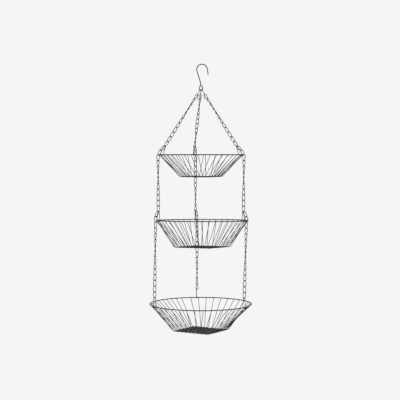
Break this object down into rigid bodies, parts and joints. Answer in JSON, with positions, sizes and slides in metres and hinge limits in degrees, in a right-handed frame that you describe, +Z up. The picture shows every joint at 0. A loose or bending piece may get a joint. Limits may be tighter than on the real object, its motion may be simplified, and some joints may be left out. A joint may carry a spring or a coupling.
{
  "type": "hanging fruit basket",
  "caption": "Hanging fruit basket of black iron wire: round baskets in tiers on link chains, below a bent wire ceiling hook.",
  "frame": {"origin": "inside of the ceiling hook's crook, at its highest point, which rests on the thing that it hangs from", "axes": "+Z up, -Y towards the viewer, +X to the viewer's right"},
  "size_m": [0.305, 0.3082, 0.7946],
  "materials": {
    "hook_wire": "satin black, lightly worn",
    "chain_wire": "satin black, lightly worn",
    "basket_wire": "satin black"
  },
  "bodies": {
    "root": {"ceiling_hook": "hook_wire"},
    "upper_basket": {"chain_hook_back": "hook_wire", "chain_hook_left": "hook_wire", "chain_hook_right": "hook_wire", "upper_chain_back": "chain_wire", "upper_chain_left": "chain_wire", "upper_chain_right": "chain_wire", "upper_rim": "basket_wire", "upper_long_wall_wires": "basket_wire", "upper_cross_wall_wires": "basket_wire", "upper_long_floor_wires": "basket_wire", "upper_cross_floor_wires": "basket_wire", "upper_rim_hook_back": "hook_wire", "upper_rim_hook_left": "hook_wire", "upper_rim_hook_right": "hook_wire", "upper_rim_links_back": "chain_wire", "upper_rim_links_left": "chain_wire", "upper_rim_links_right": "chain_wire"},
    "middle_chain_back_run": {"middle_chain_back": "chain_wire"},
    "middle_chain_left_run": {"middle_chain_left": "chain_wire"},
    "middle_chain_right_run": {"middle_chain_right": "chain_wire"},
    "middle_basket": {"middle_rim": "basket_wire", "middle_long_wall_wires": "basket_wire", "middle_cross_wall_wires": "basket_wire", "middle_long_floor_wires": "basket_wire", "middle_cross_floor_wires": "basket_wire", "middle_rim_hook_back": "hook_wire", "middle_rim_hook_left": "hook_wire", "middle_rim_hook_right": "hook_wire", "middle_rim_links_back": "chain_wire", "middle_rim_links_left": "chain_wire", "middle_rim_links_right": "chain_wire"},
    "lower_chain_back_run": {"lower_chain_back": "chain_wire"},
    "lower_chain_left_run": {"lower_chain_left": "chain_wire"},
    "lower_chain_right_run": {"lower_chain_right": "chain_wire"},
    "lower_basket": {"lower_rim": "basket_wire", "lower_long_wall_wires": "basket_wire", "lower_cross_wall_wires": "basket_wire", "lower_long_floor_wires": "basket_wire", "lower_cross_floor_wires": "basket_wire", "lower_rim_hook_back": "hook_wire", "lower_rim_hook_left": "hook_wire", "lower_rim_hook_right": "hook_wire"}
  },
  "joints": [
    {"name": "hanger_swing", "type": "hinge", "parent": "root", "child": "upper_basket", "pos_m": [0, 0, -0.0756], "axis": [1, 0, 0], "range_deg": [-10, 10]},
    {"name": "middle_sway", "type": "hinge", "parent": "upper_basket", "child": "middle_chain_back_run", "pos_m": [-0.01732, 0.13157, -0.26434], "axis": [0, 1, 0], "range_deg": [-8, 8]},
    {"name": "middle_left_sway", "type": "hinge", "parent": "upper_basket", "child": "middle_chain_left_run", "pos_m": [-0.12587, -0.0421, -0.26897], "axis": [0, 1, 0], "range_deg": [-8.5, 8.5]},
    {"name": "middle_right_sway", "type": "hinge", "parent": "upper_basket", "child": "middle_chain_right_run", "pos_m": [0.12567, -0.0428, -0.26896], "axis": [0, 1, 0], "range_deg": [-8.5, 8.5]},
    {"name": "middle_level", "type": "hinge", "parent": "middle_chain_back_run", "child": "middle_basket", "pos_m": [-0.0168, 0.13562, -0.43577], "axis": [0, 1, 0], "range_deg": [-8.5, 8.5]},
    {"name": "lower_sway", "type": "hinge", "parent": "middle_basket", "child": "lower_chain_back_run", "pos_m": [-0.01207, 0.14223, -0.46748], "axis": [0, 1, 0], "range_deg": [-7, 7]},
    {"name": "lower_left_sway", "type": "hinge", "parent": "middle_basket", "child": "lower_chain_left_run", "pos_m": [-0.1333, -0.04138, -0.4658], "axis": [0, 1, 0], "range_deg": [-6.9, 6.9]},
    {"name": "lower_right_sway", "type": "hinge", "parent": "middle_basket", "child": "lower_chain_right_run", "pos_m": [0.13202, -0.06454, -0.46528], "axis": [0, 1, 0], "range_deg": [-6.9, 6.9]},
    {"name": "lower_level", "type": "hinge", "parent": "lower_chain_back_run", "child": "lower_basket", "pos_m": [-0.01249, 0.1504, -0.67984], "axis": [0, 1, 0], "range_deg": [-7.5, 7.5]}
  ],
  "couplings": [
    {"joint": "middle_left_sway", "follows": "middle_sway", "ratio": 1.053},
    {"joint": "middle_right_sway", "follows": "middle_sway", "ratio": 1.056},
    {"joint": "middle_level", "follows": "middle_sway", "ratio": -1.015},
    {"joint": "lower_left_sway", "follows": "lower_sway", "ratio": 0.982},
    {"joint": "lower_right_sway", "follows": "lower_sway", "ratio": 0.985},
    {"joint": "lower_level", "follows": "lower_sway", "ratio": -1.015}
  ]
}
